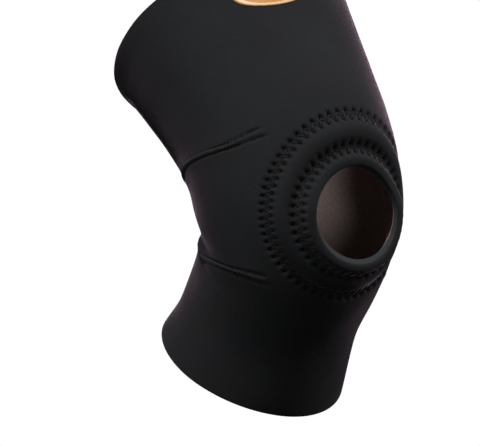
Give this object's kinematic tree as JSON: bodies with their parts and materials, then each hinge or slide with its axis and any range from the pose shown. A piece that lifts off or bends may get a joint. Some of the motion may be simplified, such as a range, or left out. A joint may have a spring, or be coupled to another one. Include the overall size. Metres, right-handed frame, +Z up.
{
  "type": "knee support sleeve",
  "caption": "Pull-on pre-bent neoprene knee sleeve with an open patella hole, a stitched-in ring pad round it, four shaping darts and a back seam.",
  "frame": {"origin": "centre of the wearer's leg in the middle of the knee's bend", "axes": "+Z up the leg as worn, -Y towards the kneecap, X across the leg"},
  "size_m": [0.154, 0.1989, 0.2837],
  "materials": {
    "jersey": "matt black nylon jersey bonded to foam",
    "lining": "matt brown-grey brushed lining",
    "thread": "black zigzag stitching",
    "foam": "matt closed-cell foam",
    "badge": "matt ochre transfer with a light border, blank"
  },
  "bodies": {
    "knee": {"knee_panel": "jersey", "knee_lining": "lining", "knee_back_seam": "thread", "patella_buttress_pad": "foam", "inner_ring_stitching": "thread", "outer_ring_stitching": "thread", "upper_left_dart": "thread", "lower_left_dart": "thread", "upper_right_dart": "thread", "lower_right_dart": "thread"},
    "thigh": {"thigh_panel": "jersey", "thigh_lining": "lining", "thigh_back_seam": "thread", "oval_badge": "badge", "upper_bend_panel": "jersey", "upper_bend_lining": "lining", "upper_bend_back_seam": "thread"},
    "calf": {"calf_panel": "jersey", "calf_lining": "lining", "calf_back_seam": "thread", "lower_bend_panel": "jersey", "lower_bend_lining": "lining", "lower_bend_back_seam": "thread"}
  },
  "joints": [
    {"name": "knee_flexion", "type": "hinge", "parent": "knee", "child": "thigh", "pos_m": [0, -0.02, 0.034], "axis": [-1, 0, 0], "range_deg": [-30, 18], "stiffness_Nm_per_rad": 1, "deforming": ["upper_bend_panel", "upper_bend_lining", "upper_bend_back_seam"]},
    {"name": "calf_follow", "type": "hinge", "parent": "knee", "child": "calf", "pos_m": [0, -0.02, -0.034], "axis": [1, 0, 0], "range_deg": [-30, 18], "stiffness_Nm_per_rad": 1, "deforming": ["lower_bend_panel", "lower_bend_lining", "lower_bend_back_seam"]}
  ],
  "couplings": [
    {"joint": "calf_follow", "follows": "knee_flexion", "ratio": 1}
  ]
}
